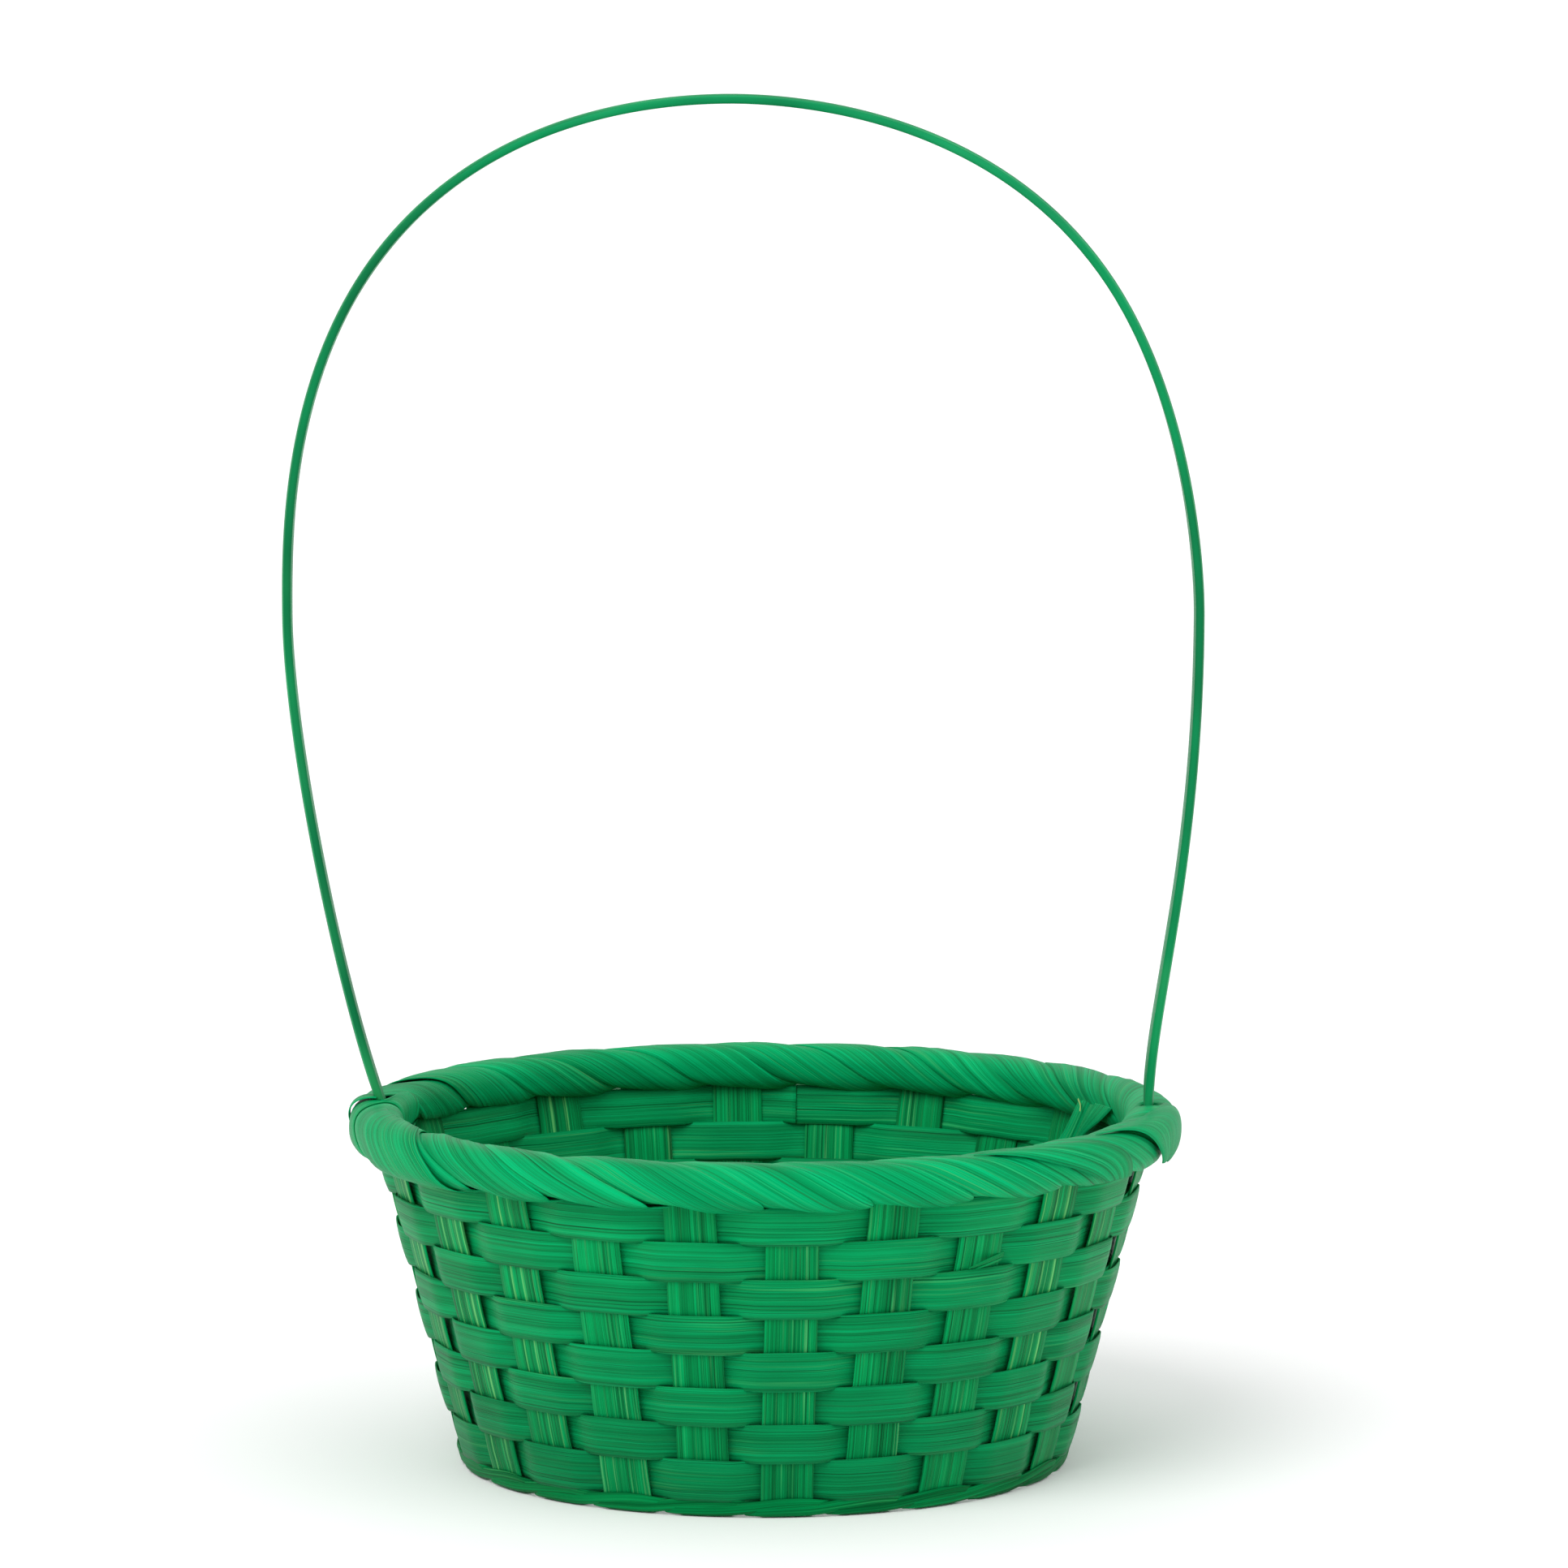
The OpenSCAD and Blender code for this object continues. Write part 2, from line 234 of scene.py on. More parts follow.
# Share of the colour left in a cloud, of the streaks left outside their patches, of the dark
# tone left in a slit, and of the tone's height by which a slit is deeper
CLOUD_SHADE = 0.74
PATCH_FLOOR = 0.12
SLIT_SHADE = 0.4
SLIT_DEPTH = 0.35
ROUGH_SPREAD = 0.3
SHEEN_ROUGHNESS = 0.35
RELIEF_DISTANCE = 0.0005


def new_material(name):
    """A material, its node tree and its shader."""
    material = bpy.data.materials.new(name)
    material.use_nodes = True
    tree = material.node_tree
    return material, tree, tree.nodes["Principled BSDF"]


def add_node(tree, kind, **values):
    """A node with the given inputs, or settings where it has no input of that name."""
    node = tree.nodes.new(kind)
    for key, value in values.items():
        if key in node.inputs:
            node.inputs[key].default_value = value
        else:
            setattr(node, key, value)
    return node


def math_node(tree, operation, a, b):
    """Result of a sum on two values, each a number or a socket."""
    node = tree.nodes.new("ShaderNodeMath")
    node.operation = operation
    for socket, value in zip(node.inputs, (a, b)):
        if isinstance(value, (int, float)):
            socket.default_value = value
        else:
            tree.links.new(value, socket)
    return node.outputs[0]


def mix_colour(tree, factor, a, b, blend="MIX"):
    """Mix of two colours, each a tuple or a socket, by a number or a socket."""
    node = tree.nodes.new("ShaderNodeMix")
    node.data_type = "RGBA"
    node.blend_type = blend
    for place, value in ((MIX_FACTOR, factor), (MIX_A, a), (MIX_B, b)):
        socket = node.inputs[place]
        if isinstance(value, (int, float)):
            socket.default_value = value
        elif isinstance(value, tuple):
            socket.default_value = (*value, 1)
        else:
            tree.links.new(value, socket)
    return node.outputs[MIX_RESULT]


def ramp(tree, source, stops):
    """Colour ramp over a value, from (position, colour) stops."""
    node = tree.nodes.new("ShaderNodeValToRGB")
    elements = node.color_ramp.elements
    while len(elements) < len(stops):
        elements.new(0.5)
    for element, (position, colour) in zip(elements, stops):
        element.position = position
        element.color = (*colour, 1)
    tree.links.new(source, node.inputs[0])
    return node.outputs[0]


def grey_ramp(tree, source, positions, greys):
    """Ramp of greys over a value."""
    return ramp(tree, source, [(position, (g, g, g)) for position, g in zip(positions, greys)])


def srgb(r, g, b):
    """Linear colour of an 8-bit sRGB colour."""

    def linear(c):
        c /= 255
        return c / 12.92 if c <= 0.04045 else ((c + 0.055) / 1.055) ** 2.4

    return (linear(r), linear(g), linear(b))


def grain_noise(tree, scale, seed):
    """Noise stretched along the splint; scale is (periods along, periods across, detail)."""
    along, across, detail = scale
    uv = add_node(tree, "ShaderNodeUVMap", uv_map="grain")
    mapping = tree.nodes.new("ShaderNodeMapping")
    mapping.inputs["Scale"].default_value = (along, across, 1)
    mapping.inputs["Location"].default_value = tuple(seed * shift for shift in GRAIN_SHIFT)
    tree.links.new(uv.outputs[0], mapping.inputs[0])
    node = add_node(
        tree, "ShaderNodeTexNoise", Scale=1.0, Detail=detail, Roughness=GRAIN_ROUGHNESS
    )
    tree.links.new(mapping.outputs[0], node.inputs["Vector"])
    return node.outputs[0]


def painted_foot_shade(tree, low):
    """Painted shade that darkens the colour towards the foot: the given share at the floor, full at
    the rim.
    """
    place = tree.nodes.new("ShaderNodeNewGeometry")
    split = tree.nodes.new("ShaderNodeSeparateXYZ")
    tree.links.new(place.outputs["Position"], split.inputs[0])
    node = tree.nodes.new("ShaderNodeMapRange")
    node.inputs["From Max"].default_value = SHADE_TOP
    node.inputs["To Min"].default_value = low
    tree.links.new(split.outputs["Z"], node.inputs["Value"])
    return node.outputs[0]


def wood_tone(tree, fibre, seed):
    """Tone of the wood, from its fibre with finer hairs and broader bands."""
    hair = math_node(tree, "MULTIPLY", grain_noise(tree, HAIR, seed), HAIR_SHARE)
    band = math_node(tree, "MULTIPLY", grain_noise(tree, BAND, seed + 2), BAND_SHARE)
    tone = math_node(tree, "ADD", hair, math_node(tree, "MULTIPLY", fibre, FIBRE_SHARE))
    return math_node(tree, "ADD", tone, band)


def streak_mask(tree, look, seed):
    """Where the wood has streaks: fine lines that come in patches."""
    along, across, rare = look.get("streak_grain", FINE_STREAKS)
    streak = grain_noise(tree, (along, across, STREAK_DETAIL), seed + 4)
    streak = grey_ramp(tree, streak, STREAK_FADE, (0, 1))
    patch = grain_noise(tree, PATCH, seed + 6)
    patch = grey_ramp(tree, patch, (rare, rare + PATCH_FADE), (PATCH_FLOOR, 1))
    streak = math_node(tree, "MULTIPLY", streak, patch)
    return math_node(tree, "MULTIPLY", streak, look["streaks"])


def splint_material(name, seed, palette, pale, look):
    """Dyed wood splint: fibres along it, with streaks of darker, lighter and undyed wood."""
    material, tree, shader = new_material(name)
    dark, body, light = palette
    fibre = grain_noise(tree, FIBRE, seed + 1)
    tone = wood_tone(tree, fibre, seed)
    spread = look["contrast"]
    base = ramp(tree, tone, [(0.5 - spread, dark), (0.5, body), (0.5 + spread, light)])
    cloud = grey_ramp(tree, grain_noise(tree, CLOUD, seed + 3), CLOUD_FADE, (CLOUD_SHADE, 1))
    base = mix_colour(tree, 1.0, base, cloud, "MULTIPLY")
    base = mix_colour(tree, streak_mask(tree, look, seed), base, pale)
    slit = grey_ramp(tree, grain_noise(tree, SLIT, seed + 5), SLIT_FADE, (1, 0))
    slit_share = math_node(tree, "MULTIPLY", slit, look["slits"])
    base = mix_colour(tree, slit_share, base, tuple(c * SLIT_SHADE for c in dark))
    # Painted shade: the colour darkens towards the foot, standing in for the dimmer light low on
    # the wall.
    if "foot" in look:
        base = mix_colour(tree, 1.0, base, painted_foot_shade(tree, look["foot"]), "MULTIPLY")
    tree.links.new(base, shader.inputs["Base Color"])
    rough = math_node(tree, "MULTIPLY", fibre, ROUGH_SPREAD)
    rough = math_node(tree, "ADD", rough, look["roughness"] - ROUGH_SPREAD / 2)
    tree.links.new(rough, shader.inputs["Roughness"])
    shader.inputs["Specular IOR Level"].default_value = look["gloss"]
    shader.inputs["Specular Tint"].default_value = (*GLOSS_TINT, 1)
    shader.inputs["Sheen Weight"].default_value = look.get("sheen", 0.0)
    shader.inputs["Sheen Roughness"].default_value = SHEEN_ROUGHNESS
    shader.inputs["Sheen Tint"].default_value = (*SHEEN_TINT, 1)
    height = math_node(tree, "SUBTRACT", tone, math_node(tree, "MULTIPLY", slit, SLIT_DEPTH))
    bump = add_node(
        tree, "ShaderNodeBump", Strength=look["relief"], Distance=RELIEF_DISTANCE
    )
    tree.links.new(height, bump.inputs["Height"])
    tree.links.new(bump.outputs[0], shader.inputs["Normal"])
    return material


# What sets one piece's wood apart. contrast: spread of the tone. streaks and slits: strength.
# foot: share of the colour left at the floor by painted shade that darkens towards the foot.
# streak_grain: the streaks' periods per metre along and across the splint, and how rare their
# patches are.
FINE_STREAKS = (12, 1100, 0.48)
WEAVER_LOOK = dict(
    contrast=0.15, streaks=0.35, slits=0.6, roughness=0.5, gloss=0.12, relief=0.7,
    foot=0.62, sheen=0.04,
)
UPRIGHT_LOOK = dict(
    contrast=0.12, streaks=0.8, slits=0.5, roughness=0.5, gloss=0.1, relief=0.9,
    foot=0.72, sheen=0.02,
)
STREAKED_LOOK = dict(UPRIGHT_LOOK, streaks=1.0, streak_grain=(5, 620, 0.26))
WRAP_LOOK = dict(
    contrast=0.14, streaks=0.35, slits=0.6, roughness=0.46, gloss=0.09, relief=0.7
)
TWINE_LOOK = dict(
    contrast=0.14, streaks=0.25, slits=0.6, roughness=0.5, gloss=0.06, relief=0.6
)
HANDLE_LOOK = dict(
    contrast=0.15, streaks=0.3, slits=0.4, roughness=0.42, gloss=0.2, relief=0.4
)
# Uprights with more undyed wood in them than the others
STREAKED_SPLINTS = ("x1", "x2", "y6")
GLOSS_TINT = (0.3, 1.0, 0.68)
SHEEN_TINT = (0.6, 0.9, 0.75)
# Dark, body and light tones
WEAVER_PALETTE = (srgb(0, 100, 48), srgb(0, 150, 84), srgb(0, 186, 112))
UPRIGHT_PALETTE = (srgb(0, 92, 44), srgb(0, 144, 76), srgb(0, 182, 102))
WRAP_PALETTE = (srgb(0, 112, 56), srgb(0, 160, 94), srgb(0, 196, 124))
BASE_PALETTE = (srgb(0, 72, 32), srgb(0, 116, 58), srgb(0, 150, 82))
HANDLE_PALETTE = (srgb(8, 100, 54), srgb(8, 142, 82), srgb(50, 184, 120))
YELLOW_STREAK = srgb(100, 206, 124)
PALE_STREAK = srgb(84, 200, 116)
STREAK_STRAW = srgb(112, 204, 116)
STRAW = srgb(186, 196, 120)
STRAW_PALETTE = (YELLOW_STREAK, STRAW, STRAW)


# --- weavers ---

# Above 1, a weaver lies flat on each upright and crosses quickly between two
SWING_GAIN = 1.35
# Places across a weaver, and stations from one upright to the next
BAND_PLACES = 9
BAND_STEPS = 16
# How much higher a weaver is than in CAD, and how far each edge spreads over an upright
BAND_GROWTH = 0.6
FLOAT_SPREAD = 0.3
# Angle over which a weaver's ends overlap, angle over which they part, and how far they do
OVERLAP = 24.0
OVERLAP_FADE = 8
OVERLAP_LIFT = 0.45
FIRST_ROW_DROP = 0.9
# Angle at which each weaver's outer end lies
WEAVER_ENDS = [97.0, 62.5, 128.0, 33.0, 79.0, 143.0, 309.0, 112.0]
# Unevenness, as (amount, angle over which it changes): in radius, width, height, tilt, surface
# and edges
BAND_WANDER = (0.15, 9)
BAND_UNEVEN = (0.02, 14)
BAND_SAG = (0.2, 11)
BAND_TILT = (0.25, 16)
BAND_RELIEF = (0.07, 20)
BAND_RAGGED = (0.06, 3)
RELIEF_ACROSS = 1.7
RAGGED_ACROSS = 2
# Tilt and crown of a weaver where it lies on an upright
SWING_TILT = 0.2
SWING_CROWN = 0.22
# Distance across the grain from one weaver's wood to the next one's
WEAVER_GRAIN = 40


def swing(phase):
    """Place of a weaver between its inner (-1) and outer (1) side."""
    return math.sin(math.radians(90 * max(-1, min(1, SWING_GAIN * math.cos(math.radians(phase))))))


def overlap_lift(turn):
    """How far a weaver's first end is pushed in and its last end out, where they overlap."""
    if turn > 360 - OVERLAP_FADE:
        return OVERLAP_LIFT * smooth((turn - (360 - OVERLAP_FADE)) / OVERLAP_FADE)
    if turn < OVERLAP:
        return -OVERLAP_LIFT * smooth((OVERLAP - turn) / OVERLAP_FADE)
    return 0.0


def weaver(row, material):
    """One horizontal weaver: a long splint whose ends lie over each other."""
    z_low, z_high, r_low, r_high = ROW_SIZES[row]
    if row == 0:
        z_low -= FIRST_ROW_DROP
    side = 1 if row % 2 else -1
    middle = (r_low + r_high) / 2
    lean = WALL_SLOPE * (z_high - z_low) / 2
    reach = (r_high - r_low) / 2 - lean - WEAVER_T / 2
    half_h = (z_high - z_low + BAND_GROWTH) / 2
    z_mid = (z_low + z_high) / 2
    start = WEAVER_ENDS[row] - OVERLAP
    count = int((360 + OVERLAP) / STEP * BAND_STEPS) + 1
    grid, grain = [], []
    for s in range(count):
        turn = s * STEP / BAND_STEPS
        angle = start + turn
        bulge = side * swing(SWINGS * (angle - FIRST))
        line = middle + reach * bulge + drift(BAND_WANDER, angle, row, 1) + overlap_lift(turn)
        wide = half_h * (1 + drift(BAND_UNEVEN, angle, row, 2)) + FLOAT_SPREAD * abs(bulge)
        height = z_mid + drift(BAND_SAG, angle, row, 3)
        tilt = lean + drift(BAND_TILT, angle, row, 4) + SWING_TILT * bulge
        points, uv = [], []
        for a in range(BAND_PLACES):
            e = 2 * a / (BAND_PLACES - 1) - 1
            crown = SWING_CROWN * bulge * (1 - e * e)
            relief = drift(BAND_RELIEF, angle, a * RELIEF_ACROSS, 5 + row)
            ragged = drift(BAND_RAGGED, angle, e * RAGGED_ACROSS, 20 + row) * abs(e)
            radius = line + crown + relief + tilt * e
            points.append(polar(radius, angle, height + wide * e + ragged))
            uv.append((math.radians(turn) * middle * MM, (wide * e + row * WEAVER_GRAIN) * MM))
        grid.append(points)
        grain.append(uv)
    name = f"weaver_{row + 1}"
    mesh = thick_strip(name, grid, WEAVER_T, WEAVER_EDGE, grain)
    return make_piece(name, mesh, "weavers", material, f"weaver_row_{row + 1}")


# --- floor splints and uprights ---

FLOOR_LOW = SPLINT_T / 2
LAYER_GAP = 0.1
FLOOR_LAYER = SPLINT_T + LAYER_GAP
# Distance from a crossing's middle at which a splint leaves its level, and length it takes
LEVEL_LEAVE = 6.6
LEVEL_SPAN = 4.0
CORNER_INNER_R = 2.6
CORNER_R = CORNER_INNER_R + SPLINT_T / 2
CORNER_TURN = 90 - math.degrees(math.atan(WALL_SLOPE))
CORNER_START = wall_r(FLOOR_LOW) - CORNER_R * math.tan(math.radians(CORNER_TURN / 2))
# Half the woven floor, up to just past its last splint's place
GRID_HALF = STRIPS / 2 * FLOOR_PITCH + 1
FAN_BEND = 0.45
SPLINT_PLACES = 9
# Stations across the woven floor, its edge, the corner and the wall
FLOOR_STEPS, FAN_STEPS, CORNER_STEPS, RISE_STEPS = 28, 8, 6, 64
# How far the weavers push an upright, and the share of a row over which that fades at the ends
PUSH = 0.18
PUSH_FADE = 0.6
# Tilt over which the corner becomes the wall
WALL_BLEND = 4
# Unevenness of a splint, as (amount, length over which it changes): width, place and surface
SPLINT_UNEVEN = (0.03, 35)
SPLINT_SWAY = (0.35, 30)
SPLINT_RELIEF = (0.06, 30)
SPLINT_ACROSS = 1.3
SPLINT_CURL = 0.28
SPLINT_GRAIN = 31


def strip_place(i):
    """Place of strip i from the middle of the floor, counted in strips."""
    return i - (STRIPS + 1) / 2


def floor_height(i, u, flip):
    """Height of strip i of the floor's weave at distance u from its middle."""
    low, high = FLOOR_LOW, FLOOR_LOW + FLOOR_LAYER
    place = flip * u / FLOOR_PITCH + (STRIPS + 1) / 2
    j = round(place)
    if j < 1 or j > STRIPS:
        return low
    here = high if (i + j) % 2 == 0 else low
    step = place - j
    outwards = (j == STRIPS and step > 0) or (j == 1 and step < 0)
    other = low if outwards or here == high else high
    share = smooth((abs(step) * FLOOR_PITCH - LEVEL_LEAVE) / LEVEL_SPAN)
    return here + (other - here) * min(share, 0.5)


def fan_point(i, s):
    """Place of a splint between the woven floor and the corner, where the splints fan out."""
    a = math.radians(strip_place(i) * STEP)
    p0 = np.array([GRID_HALF, strip_place(i) * FLOOR_PITCH])
    p2 = CORNER_START * np.array([math.cos(a), math.sin(a)])
    p1 = p2 - (p2[0] - p0[0]) * FAN_BEND * np.array([1, math.tan(a)])
    return (1 - s) ** 2 * p0 + 2 * s * (1 - s) * p1 + s * s * p2


def half_strip(i, flip):
    """Stations (u, v, z, heading, tilt) from the middle of the floor to the top of one upright."""
    stations = []
    heading = strip_place(i) * STEP
    a = math.radians(heading)
    for k in range(FLOOR_STEPS + 1):
        u = GRID_HALF * k / FLOOR_STEPS
        stations.append((u, strip_place(i) * FLOOR_PITCH, floor_height(i, u, flip), 0.0, 0.0))
    for k in range(1, FAN_STEPS + 1):
        s = k / FAN_STEPS
        p = fan_point(i, s)
        z = FLOOR_LOW + (stations[-1][2] - FLOOR_LOW) * (1 - s)
        stations.append((p[0], p[1], z, heading * s, 0.0))
    for k in range(1, CORNER_STEPS + 1):
        t = CORNER_TURN * k / CORNER_STEPS
        r = CORNER_START + CORNER_R * math.sin(math.radians(t))
        z = FLOOR_LOW + CORNER_R * (1 - math.cos(math.radians(t)))
        stations.append((r * math.cos(a), r * math.sin(a), z, heading, t))
    first = stations[-1][2]
    for k in range(1, RISE_STEPS + 1):
        z = first + (HOOP_TOP - first) * k / RISE_STEPS
        r = wall_r(z)
        stations.append((r * math.cos(a), r * math.sin(a), z, heading, CORNER_TURN))
    return stations


def pushed(z, side):
    """How far the weavers push an upright in or out at height z."""
    low, high = ROW_SIZES[0], ROW_SIZES[-1]
    row = (z - (low[0] + low[1]) / 2) / ((high[0] - low[0]) / (ROWS - 1))
    fade = smooth((row + PUSH_FADE) / PUSH_FADE) * smooth((ROWS - 1 + PUSH_FADE - row) / PUSH_FADE)
    return PUSH * side * math.cos(math.pi * row) * fade


def section_points(station, flip, direction, seed, length):
    """Points across a splint at a station, and their places in its grain."""
    u, v, z, heading, tilt = station
    h, t = math.radians(heading), math.radians(tilt)
    across = np.array([-math.sin(h), math.cos(h), 0])
    up = np.array([-math.sin(t) * math.cos(h), -math.sin(t) * math.sin(h), math.cos(t)])
    on_wall = smooth((tilt - CORNER_TURN + WALL_BLEND) / WALL_BLEND)
    angle = math.degrees(math.atan2(v, flip * u)) + 90 * direction
    push = -on_wall * pushed(z, math.cos(math.radians(SWINGS * (angle - FIRST))))
    half_w = SPLINT_W / 2 * (1 + drift(SPLINT_UNEVEN, length, seed, 31))
    sway = on_wall * drift(SPLINT_SWAY, z, seed, 32)
    points, uv = [], []
    for a in range(SPLINT_PLACES):
        e = 2 * a / (SPLINT_PLACES - 1) - 1
        relief = drift(SPLINT_RELIEF, length, a * SPLINT_ACROSS, seed + 33)
        curl = -on_wall * SPLINT_CURL * e * e
        p = np.array([u, v, z]) + (half_w * e + sway) * across + (push + relief + curl) * up
        p = np.array([flip * p[0], p[1], p[2]])
        if direction:
            p = np.array([-p[1], p[0], p[2]])
        points.append(p)
        uv.append((flip * length * MM, (half_w * e + seed * SPLINT_GRAIN) * MM))
    return points, uv


def long_splint(i, direction, material):
    """A splint that runs up the wall, across the floor and up the other side."""
    seed = i + STRIPS * direction
    grid, grain = [], []
    for flip in (-1, 1):
        length = 0.0
        rows = []
        previous = None
        for station in half_strip(i, flip):
            here = np.array(station[:3])
            if previous is not None:
                length += float(np.linalg.norm(here - previous))
            previous = here
            rows.append(section_points(station, flip, direction, seed, length))
        if flip < 0:
            rows = rows[:0:-1]
        grid += [r[0] for r in rows]
        grain += [r[1] for r in rows]
    node = f"splint_{'xy'[direction]}{i}"
    mesh = thick_strip(node, grid, SPLINT_T, SPLINT_EDGE, grain)
    return make_piece(f"upright_{node}", mesh, "uprights", material, node)


# --- base twining ---

TWINE_H = 3.7
TWINE_T = 0.8
TWINE_LOW = 0.2
TWINE_STEPS = 14
TWINE_PLACES = 5
# A strand passes inside one upright in three. Its places are counted in uprights from there:
# it is inside up to half an upright away, and outside and rising over the others.
TWINE_REPEAT = 3
INSIDE_HALF = 0.5
CROSS_SPAN = 0.28
RISE_FROM, RISE_SPAN = 1.1, 1.2
DROP_FROM, DROP_SPAN = 0.28, 0.24
TWINE_RISE = 2.7
TWINE_SWING = 1.1
# A strand's narrowest height as a share, and how blunt it is towards its ends
TWINE_NARROW = 0.5
TWINE_BLUNT = 0.7
TWINE_CROWN = 0.15
TWINE_SAG = (0.15, 7)
TWINE_WANDER = (0.15, 5)
# Radius that turns its angle into length of grain, and distance across the grain to the next
TWINE_GRAIN_R = 95
TWINE_GRAIN, TWINE_GRAIN_START = 23, 400


def twine_path(w):
    """Share of the swing and of the rise of a strand at place w of its repeat."""
    inside = smooth((INSIDE_HALF - w) / CROSS_SPAN + 0.5)
    inside += smooth((w - TWINE_REPEAT + INSIDE_HALF) / CROSS_SPAN + 0.5)
    rise = smooth((w - RISE_FROM) / RISE_SPAN)
    if w < INSIDE_HALF:
        rise = 1 - smooth((w - DROP_FROM) / DROP_SPAN)
    return 1 - 2 * min(1.0, inside), rise


def base_twine(strand, material):
    """One strand of the twining round the foot, widest where it floats outside."""
    grid, grain = [], []
    for s in range(TWINE_STEPS * UPRIGHTS + 1):
        upright = s / TWINE_STEPS
        angle = FIRST + upright * STEP
        w = (upright + strand) % TWINE_REPEAT
        share, rise = twine_path(w)
        float_place = max(0.0, min(1.0, (w - INSIDE_HALF) / (TWINE_REPEAT - 2 * INSIDE_HALF)))
        lens = math.sin(math.pi * float_place) ** TWINE_BLUNT
        half = TWINE_H / 2 * (TWINE_NARROW + (1 - TWINE_NARROW) * lens)
        z = TWINE_LOW + half + rise * TWINE_RISE + drift(TWINE_SAG, angle, strand, 41)
        radius = wall_r(z) + share * TWINE_SWING + drift(TWINE_WANDER, angle, strand, 42)
        across = strand * TWINE_GRAIN + TWINE_GRAIN_START
        points, uv = [], []
        for a in range(TWINE_PLACES):
            e = 2 * a / (TWINE_PLACES - 1) - 1
            bulge = TWINE_CROWN * (1 - e * e) * share
            points.append(polar(radius + bulge + WALL_SLOPE * half * e, angle, z + half * e))
            uv.append((math.radians(angle) * TWINE_GRAIN_R * MM, (half * e + across) * MM))
        grid.append(points)
        grain.append(uv)
    name = f"twine_{'abc'[strand]}"
    mesh = thick_strip(name, grid, TWINE_T, TWINE_EDGE, grain)
    return make_piece(name, mesh, "base_twine", material, f"base_{name}")


# --- rim wrapping ---

# The rim's outline: its middle, and its half width and height with room round the hoops
ROOM_W, ROOM_H = 0.1, 0.2
RIM_R = (INNER_HOOP[2] + OUTER_HOOP[3]) / 2
RIM_Z = (HOOP_LOW + HOOP_TOP) / 2
RIM_HALF_W = (OUTER_HOOP[3] - INNER_HOOP[2]) / 2 + ROOM_W
RIM_HALF_H = (HOOP_TOP - HOOP_LOW) / 2 + ROOM_H
# 2 makes the outline an ellipse, and a higher power makes it squarer
WRAP_POWER = 2.6
WRAP_T = 0.7
# Angle that the wrapping's width takes up
WRAP_WIDTH = 19.0
WRAP_LAST = 11
WRAP_STEPS = 44
WRAP_PLACES = 15
# Each half of the rim is wrapped by two windings. Turn n crosses the top at start + top + n steps
# and passes under the rim at start + under + n steps. first holds each winding's first turn.
FRONT_WRAP = dict(start=180.0, top=10.0, under=30.0, first=(0, -1), seed=1)
BACK_WRAP = dict(start=0.0, top=3.0, under=15.0, first=(0, 1), seed=11)
# How far each crossing wanders, and how far past its half of the rim a winding may go
TOP_JITTER, UNDER_JITTER = 2.2, 0.6
UNDER_LIMIT, END_LIMIT = 182, 184
# Knots left out at the start and the end of a winding
BEGIN_KNOTS, END_KNOTS = 0.35, 1.75
# Gap in the wrapping at a leg's middle, half width that keeps it, and distance it fades over
LEG_GAP = 1.8
LEG_HALF = 2.2
LEG_FADE = 2.0
# Share of the way up the rim's outline from which the gap counts, and how fast
TOP_FROM, TOP_SPAN = 0.75, 0.2
# The windings are gathered under the rim: by what share, over what part of a turn, how sharply
PINCH = 0.6
PINCH_SPAN = 0.12
PINCH_POWER = 2.5
WRAP_UNEVEN = 0.12
UNEVEN_RATE = 1.1
# Each turn rises to lie over the next one, with a rounded back, ridges and pleats
OVER_NEXT = 1.15
OVER_SPAN = 0.45
LOBE, GATHERED_LOBE = 0.35, 0.9
RIDGE, RIDGE_RATE, RIDGE_ACROSS = 0.2, 1.6, 7
PLEAT, PLEAT_RATE, PLEAT_ACROSS, PLEAT_FROM = 0.5, 0.9, 10, 0.1
WRAP_SINK = 0.3
# Length of grain in metres per turn, its width per degree, and the distance to the next winding
TURN_GRAIN = 0.044
DEGREE_GRAIN = 1.6
WRAP_GRAIN = 40


def rim_outline(p, grow):
    """Point of the rim's rounded outline at angle p from outwards to upwards."""
    w, h = RIM_HALF_W + grow, RIM_HALF_H + grow
    c, s = math.cos(math.radians(p)), math.sin(math.radians(p))
    k = (abs(c) / w) ** WRAP_POWER + (abs(s) / h) ** WRAP_POWER
    return k ** (-1 / WRAP_POWER) * np.array([c, s])


def wrap_knots(plan, first):
    """Azimuths where a winding crosses the rim's top and passes under it, in turn."""
    rng = random.Random(plan["seed"] * 10 + first)
    start, top, under = plan["start"], plan["top"], plan["under"]
    knots = [start + under + STEP * (first - 2)]
    for n in range(first, WRAP_LAST + 1, 2):
        knots.append(start + top + STEP * n + rng.uniform(-TOP_JITTER, TOP_JITTER))
        below = start + under + STEP * n + rng.uniform(-UNDER_JITTER, UNDER_JITTER)
        knots.append(min(below, start + UNDER_LIMIT))
    knots.append(min(knots[-1] + 2 * STEP - under + top, start + END_LIMIT))
    return knots


def curve_between(a, b, c, d, t):
    """Smooth curve from b to c that also heeds the points before and after them."""
    return b + 0.5 * t * (c - a + t * (2 * a - 5 * b + 4 * c - d + t * (3 * (b - c) + d - a)))


def through(knots, place):
    """Smooth curve through evenly spaced knots, at a place counted in knots."""
    k = max(1, min(len(knots) - 3, int(math.floor(place))))
    return curve_between(*knots[k - 1:k + 3], place - k)


def beside_leg(offset):
    """1 where a place this far out from the rim's middle line is beside a leg, falling to 0."""
    return 1 - smooth((abs(offset - (FOOT_R - RIM_R)) - LEG_HALF) / LEG_FADE)


